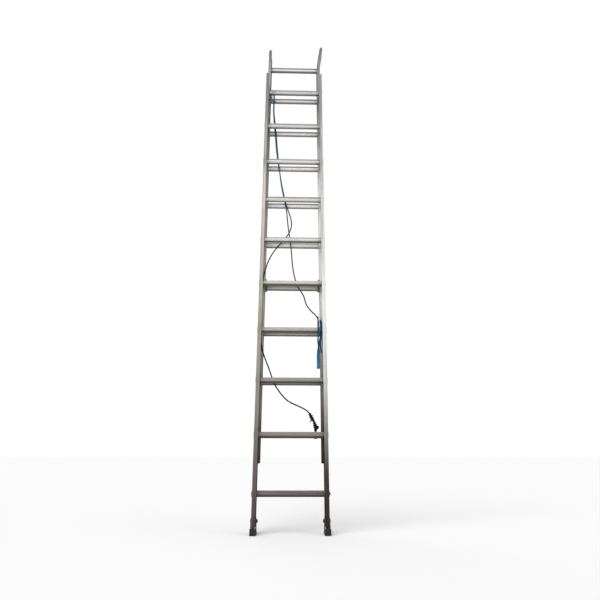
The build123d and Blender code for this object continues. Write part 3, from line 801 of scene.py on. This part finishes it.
# %% Small metal and rubber
def dull_metal(name, light, dark, metallic, rough, grain, rust=0.0):
    finish = Finish(name, Metallic=metallic)
    mottle = finish.noise(finish.scaled(grain, grain, grain), 1.0, 5.0, 0.6)
    fine = finish.noise(finish.scaled(grain * 9, grain * 9, grain * 9), 1.0, 2.0)
    colour = finish.mix(finish.step(mottle, 0.35, 0.68), tone(*light), tone(*dark))
    if rust:
        broad = grain * 0.7
        patches = finish.noise(finish.scaled(broad, broad, broad), 1.0, 4.0)
        colour = finish.mix(finish.step(patches, 0.52, 0.7) * rust, colour, tone(92, 58, 36))
    finish.feed("Base Color", colour)
    finish.feed("Roughness", rough + mottle * 0.2)
    finish.bump(fine, 0.15, 0.0004)
    return finish.material


casting = dull_metal("lock_casting", (128, 126, 114), (88, 85, 76), 0.5, 0.45, 60)
zinc = dull_metal("dull_zinc", (132, 130, 128), (84, 80, 76), 0.8, 0.35, 90, 0.55)
sheave_steel = dull_metal("sheave_steel", (112, 130, 146), (80, 95, 108), 0.5, 0.4, 80, 0.15)
shoe_steel = dull_metal("dark_shoe", (58, 54, 52), (30, 27, 25), 0.3, 0.55, 50, 0.25)
rubber = dull_metal("foot_rubber", (30, 28, 27), (14, 12, 11), 0.0, 0.72, 70)
small_finishes = {
    "lock_casting": casting,
    "fixing_steel": zinc,
    "sheave": sheave_steel,
    "shoe_steel": shoe_steel,
    "shoe_rubber": rubber,
}
for entry in frame["record"]["subparts"]:
    if entry["material_slot"] in small_finishes:
        dress([entry["node"]], small_finishes[entry["material_slot"]])
dress(("pulley_bracket", "pulley_axle"), sheave_steel)
dress(("tie_rod", "tie_rod_fixings"), shoe_steel)
dress(("shoe_bolt_left", "shoe_bolt_right", "shoe_nut_left", "shoe_nut_right"), shoe_steel)
for coil in coils:
    coil.data.materials.append(zinc)
print("small metal finished")

# %% [markdown]
# The rope is faded: grey-blue up high and darker towards the bottom. The tie has kept more of its blue,
# most of all at its hanging ends. A flat colour would look like plastic, so the tone follows the height
# and fine fibres give a soft, rough surface with little shine.

# %% Rope finishes
rope_top = 3.0


def rope_finish(name, tones, fleck):
    fibre = Finish(name, Roughness=0.85, Specular_IOR_Level=0.15)
    z = fibre.parts(fibre.place)[2]
    colour = fibre.by_height(z, rope_top, tones)
    hairs = fibre.noise(fibre.scaled(900, 900, 260), 1.0, 3.0)
    dirt = fibre.noise(fibre.scaled(40, 40, 22), 1.0, 3.0)
    colour = fibre.mix(fibre.step(hairs, 0.5, 0.72) * 0.45, colour, tone(*fleck))
    colour = fibre.mix(fibre.step(dirt, 0.5, 0.75) * 0.4, colour, tone(38, 40, 42))
    fibre.feed("Base Color", colour)
    fibre.bump(hairs, 0.35, 0.0006)
    return fibre.material


upper_tones = [(2.0, (62, 88, 110)), (2.84, (62, 92, 118)), (2.88, (96, 130, 160))]
hauling_tones = [(1.1, (40, 60, 76)), (1.3, (46, 66, 82)), (1.6, (60, 76, 88)), *upper_tones]
standing_tones = [(0.5, (18, 19, 20)), (1.0, (24, 27, 30)), (1.7, (40, 54, 66)), *upper_tones]
hauling.data.materials.append(rope_finish("hauling_rope", hauling_tones, (128, 142, 154)))
standing.data.materials.append(rope_finish("standing_rope", standing_tones, (84, 96, 106)))
pulley_tones = [(2.86, (112, 146, 174)), (2.93, (122, 156, 184))]
pulley_loop.data.materials.append(rope_finish("pulley_cord", pulley_tones, (160, 176, 190)))
tie_upper_tones = ((34, 92, 128), (26, 74, 110), (26, 44, 66))
for tie, upper in zip(ties, tie_upper_tones):
    tie_tones = [(0.86, (30, 112, 162)), (0.955, (34, 110, 158)), (1.0, upper), (1.2, upper)]
    tie.data.materials.append(rope_finish(tie.name + "_fibre", tie_tones, (96, 140, 172)))
black_cord = rope_finish("black_cord", [(0.4, (22, 22, 23)), (0.7, (30, 31, 33))], (58, 60, 62))
lashing.data.materials.append(black_cord)
loose_end.data.materials.append(black_cord)
print("ropes finished")

# %% [markdown]
# A plain pale floor lies under the feet. More light on the object would also turn the background white,
# but would wash the metal out, so the world is white only to the camera and to reflections. The lamps are
# soft: a strong one in front and above, a weaker one on the right and one behind for the edges.

# %% Floor, world and lamps
bpy.ops.object.select_all(action="DESELECT")
floor_width = 110
bpy.ops.mesh.primitive_plane_add(size=floor_width, location=(0, 0, 0))
floor = bpy.context.active_object
floor.name = "studio_floor"
floor_paint = Finish("floor_paint", Base_Color=(1, 1, 1, 1), Roughness=0.9, Specular_IOR_Level=0.0)
floor.data.materials.append(floor_paint.material)

world = bpy.data.worlds.new("studio")
world.use_nodes = True
bpy.context.scene.world = world
sky = world.node_tree
white = (1, 1, 1, 1)
fill_strength = 0.46
shown = sky.nodes["Background"]
shown.inputs["Color"].default_value = white
lit = sky.nodes.new("ShaderNodeBackground")
lit.inputs["Color"].default_value = white
lit.inputs["Strength"].default_value = fill_strength
path = sky.nodes.new("ShaderNodeLightPath")
blend = sky.nodes.new("ShaderNodeMixShader")
seen = path.outputs["Is Camera Ray"]
for ray in ("Is Glossy Ray", "Is Transmission Ray"):
    either = sky.nodes.new("ShaderNodeMath")
    either.operation = "MAXIMUM"
    sky.links.new(seen, either.inputs[0])
    sky.links.new(path.outputs[ray], either.inputs[1])
    seen = either.outputs[0]
sky.links.new(seen, blend.inputs[0])
sky.links.new(lit.outputs[0], blend.inputs[1])
sky.links.new(shown.outputs[0], blend.inputs[2])
sky.links.new(blend.outputs[0], sky.nodes["World Output"].inputs["Surface"])


def lamp(name, place, strength, softness):
    data = bpy.data.lights.new(name, "SUN")
    data.energy = strength
    data.angle = math.radians(softness)
    holder = bpy.data.objects.new(name, data)
    holder.location = place
    holder.rotation_euler = (-Vector(place)).to_track_quat("-Z", "Y").to_euler()
    bpy.context.scene.collection.objects.link(holder)


lamp("front_lamp", (-2.2, -3.6, 5.0), 1.55, 50)
lamp("side_lamp", (4.0, -1.6, 3.0), 0.40, 60)
lamp("rim_lamp", (-2.0, 4.0, 3.0), 0.35, 60)
bpy.context.scene.view_settings.view_transform = "Standard"
print("floor, world and lamps placed")
